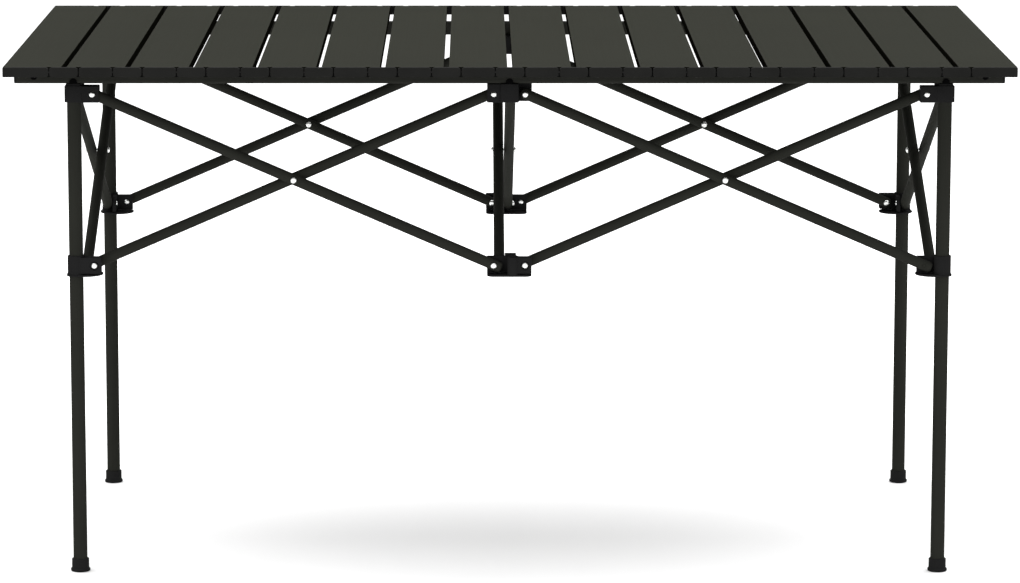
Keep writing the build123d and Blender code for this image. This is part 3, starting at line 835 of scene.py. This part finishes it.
def add_crossing_rivet(scissor):
    """Rivet where the two braces of a scissor cross."""
    node = scissor + "_crossing_rivet"
    side = Vector((*SCISSORS[scissor][2], 0))
    centre = middle(node)
    half = (INNER_PLANE - OUTER_PLANE) / 2 + BRACE_RADIUS + GAP
    bm = lathe(rivet_profile(2 * half, True, True), 40)
    across = Vector((0, 0, 1)).cross(side)
    placed(bm, across, (0, 0, 1), side, centre - side * half)
    piece = add_piece(node + "_head", mesh_of(bm, "rivet"), ZINC, BODY_OF[node])
    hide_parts(node)


# Feet

def add_foot(post):
    """Cup over the end of a leg, on a rounded flange."""
    node = post + "_foot"
    x, y = POSTS[post]
    flare = FOOT_FLARE
    bore = LEG_RADIUS + 0.1 * MM
    profile = ([(0, 0)]
               + arc((FOOT_FLANGE - flare, flare), flare, -90, 0, 5)
               + arc((FOOT_FLANGE - flare, 4 * MM - flare), flare, 0, 80, 5)
               + [(FOOT_RADIUS + 0.15 * MM, 4.3 * MM), (FOOT_RADIUS, 5.2 * MM)]
               + arc((FOOT_RADIUS - 1 * MM, FOOT_HEIGHT - 1 * MM), 1 * MM, 0, 90, 5)
               + [(LEG_RADIUS + 0.25 * MM, FOOT_HEIGHT), (bore, FOOT_HEIGHT - 0.6 * MM),
                  (bore, 3 * MM), (0, 3 * MM)])
    bm = standing(lathe(profile, 64), x, y)
    piece = add_piece(node + "_cup", mesh_of(bm, "foot"), FOOT_PLASTIC, BODY_OF[node])
    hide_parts(node)


def coat(node, material):
    """Give a CAD node a finish."""
    obj = frame["nodes"][node]
    obj.data.materials.clear()
    obj.data.materials.append(material)


def build_table():
    for number in range(1, SLAT_COUNT + 1):
        add_slat(number)
    add_rail_fittings()
    for post in POSTS:
        add_hub(post, "top")
        add_hub(post, "low")
    for post in CORNERS:
        add_foot(post)
        coat(post + "_leg", TUBE_COAT)
    for scissor in SCISSORS:
        add_crossing_rivet(scissor)
        for layer in ("outer", "inner"):
            coat(f"{scissor}_{layer}_brace", TUBE_COAT)
    for side in ("front", "back"):
        coat(side + "_rail", RAIL_COAT)


# Stage, light and camera

def add_floor():
    """Plain pale floor."""
    bm = bmesh.new()
    bmesh.ops.create_grid(bm, x_segments=1, y_segments=1, size=40)
    floor = bpy.data.objects.new("floor", mesh_of(bm, "floor"))
    floor.location.z = -FLOOR_DROP
    nodes = Nodes("floor")
    cloud = nodes.spread(nodes.noise(0.8), 0.0, 1.0)
    nodes.link(nodes.blend(cloud, (0.88, 0.88, 0.88), (0.9, 0.9, 0.9)),
               nodes.shader.inputs["Base Color"])
    nodes.shader.inputs["Roughness"].default_value = 0.9
    nodes.shader.inputs["Specular IOR Level"].default_value = 0.1
    floor.data.materials.append(nodes.material)
    bpy.context.scene.collection.objects.link(floor)


def add_area(name, place, target, size, power):
    """Soft rectangular light that looks at a point."""
    light = bpy.data.lights.new(name, "AREA")
    light.shape = "RECTANGLE"
    light.size, light.size_y = size
    light.energy = power
    obj = bpy.data.objects.new(name, light)
    obj.location = place
    obj.rotation_euler = (Vector(target) - Vector(place)).to_track_quat("-Z", "Y").to_euler()
    bpy.context.scene.collection.objects.link(obj)


def add_light():
    """White surroundings and three large soft lights."""
    world = bpy.data.worlds.new("studio")
    world.use_nodes = True
    background = world.node_tree.nodes["Background"]
    background.inputs["Color"].default_value = (1.0, 1.0, 1.0, 1)
    background.inputs["Strength"].default_value = 1.0
    bpy.context.scene.world = world
    add_area("overhead", (0.0, 1.0, 4.5), (0, 0.2, 0.3), (8.0, 7.0), 520)
    add_area("front_left", (-3.6, -4.6, 1.4), (0, 0, 0.1), (3.0, 2.4), 34)
    add_area("front_right", (3.8, -4.2, 1.2), (0, 0, 0.1), (3.0, 2.4), 22)


CAMERA_PLACE = (-0.0471, -6.4365, 1.4173)
CAMERA_LENS = 163.1
CAMERA_PITCH = 9.54
CAMERA_SHIFT = (0.035, 0.0)


def add_camera():
    """Long lens in front of the table, above it and looking slightly down."""
    camera = bpy.data.cameras.new("camera")
    camera.lens = CAMERA_LENS
    camera.sensor_width = 36
    camera.shift_x, camera.shift_y = CAMERA_SHIFT
    camera.clip_end = 200
    obj = bpy.data.objects.new("camera", camera)
    obj.location = CAMERA_PLACE
    obj.rotation_euler = (math.radians(90 - CAMERA_PITCH), 0, 0)
    bpy.context.scene.collection.objects.link(obj)
    bpy.context.scene.camera = obj


build_table()
add_floor()
add_light()
add_camera()
bpy.context.scene.view_settings.view_transform = "Standard"
